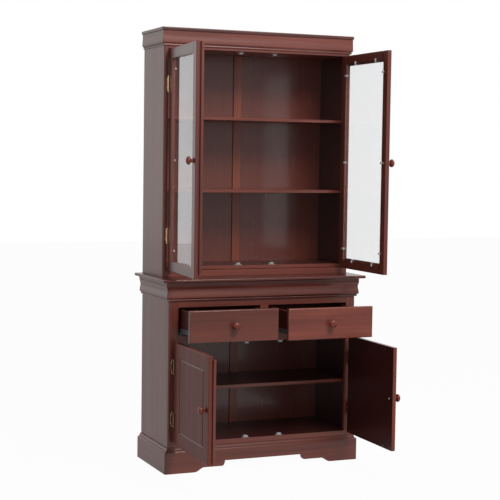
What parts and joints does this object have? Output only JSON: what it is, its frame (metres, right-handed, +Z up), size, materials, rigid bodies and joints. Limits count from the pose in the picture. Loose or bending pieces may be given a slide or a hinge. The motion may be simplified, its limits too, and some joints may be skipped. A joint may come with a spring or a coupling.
{
  "type": "china cabinet",
  "caption": "Tall wooden china cabinet: glazed upper case with shelves on a moulded base with drawers and panelled doors, all shown open.",
  "frame": {"origin": "centre of the underside of the rear plinth rail, on the floor", "axes": "+Z up, the cabinet's front faces -Y, +X to the right as seen from the front"},
  "size_m": [0.9609, 0.8113, 1.9],
  "materials": {
    "case_wood": "satin lacquered red-brown hardwood",
    "door_wood": "satin lacquered red-brown hardwood",
    "back_board": "thin stained board, dull",
    "knob_wood": "turned and lacquered, glossy",
    "hinge_brass": "polished brass",
    "runner_steel": "zinc plated steel",
    "door_glass": "clear flat glass"
  },
  "bodies": {
    "case": {"base_side_left": "case_wood", "base_side_right": "case_wood", "base_stile_left": "case_wood", "base_stile_right": "case_wood", "base_top_rail": "case_wood", "base_mid_rail": "case_wood", "drawer_divider": "case_wood", "base_floor": "case_wood", "base_shelf": "case_wood", "base_back_panel": "back_board", "base_back_muntin": "back_board", "plinth_rear_rail": "case_wood", "base_top_slab": "case_wood", "base_frieze_front": "case_wood", "base_frieze_left": "case_wood", "base_frieze_right": "case_wood", "plinth_front": "case_wood", "plinth_left": "case_wood", "plinth_right": "case_wood", "hutch_side_left": "case_wood", "hutch_side_right": "case_wood", "hutch_bottom_rail": "case_wood", "hutch_floor": "case_wood", "hutch_ceiling": "case_wood", "hutch_top_board": "case_wood", "crown_front": "case_wood", "crown_left": "case_wood", "crown_right": "case_wood", "hutch_shelf_lower": "case_wood", "hutch_shelf_upper": "case_wood", "hutch_back_panel": "back_board", "hutch_back_muntin": "back_board", "hutch_hinge_left_lower": "hinge_brass", "hutch_hinge_left_upper": "hinge_brass", "hutch_hinge_right_lower": "hinge_brass", "hutch_hinge_right_upper": "hinge_brass", "base_hinge_left_lower": "hinge_brass", "base_hinge_left_upper": "hinge_brass", "base_hinge_right_lower": "hinge_brass", "base_hinge_right_upper": "hinge_brass", "runner_left_inner": "runner_steel", "runner_left_outer": "runner_steel", "runner_right_inner": "runner_steel", "runner_right_outer": "runner_steel"},
    "hutch_door_left": {"hutch_door_left_frame": "door_wood", "hutch_door_left_glass": "door_glass", "hutch_door_left_knob": "knob_wood"},
    "hutch_door_right": {"hutch_door_right_frame": "door_wood", "hutch_door_right_glass": "door_glass", "hutch_door_right_knob": "knob_wood"},
    "base_door_left": {"base_door_left_leaf": "door_wood", "base_door_left_knob": "knob_wood"},
    "base_door_right": {"base_door_right_leaf": "door_wood", "base_door_right_knob": "knob_wood"},
    "drawer_left": {"drawer_left_front": "door_wood", "drawer_left_box": "back_board", "drawer_left_knob": "knob_wood"},
    "drawer_right": {"drawer_right_front": "door_wood", "drawer_right_box": "back_board", "drawer_right_knob": "knob_wood"}
  },
  "joints": [
    {"name": "hutch_door_left_hinge", "type": "hinge", "parent": "case", "child": "hutch_door_left", "pos_m": [-0.4233, -0.2629, 1.336], "axis": [0, 0, -1], "range_deg": [-95, 75]},
    {"name": "hutch_door_right_hinge", "type": "hinge", "parent": "case", "child": "hutch_door_right", "pos_m": [0.4233, -0.2629, 1.336], "axis": [0, 0, 1], "range_deg": [-90, 80]},
    {"name": "base_door_left_hinge", "type": "hinge", "parent": "case", "child": "base_door_left", "pos_m": [-0.4237, -0.3699, 0.3473], "axis": [0, 0, -1], "range_deg": [-91.4, 78.6]},
    {"name": "base_door_right_hinge", "type": "hinge", "parent": "case", "child": "base_door_right", "pos_m": [0.4237, -0.3699, 0.3473], "axis": [0, 0, 1], "range_deg": [-89.4, 80.6]},
    {"name": "drawer_left_slide", "type": "slide", "parent": "case", "child": "drawer_left", "axis": [0, -1, 0], "range_m": [-0.1724, 0.063]},
    {"name": "drawer_right_slide", "type": "slide", "parent": "case", "child": "drawer_right", "axis": [0, -1, 0], "range_m": [-0.2036, 0.032]}
  ]
}
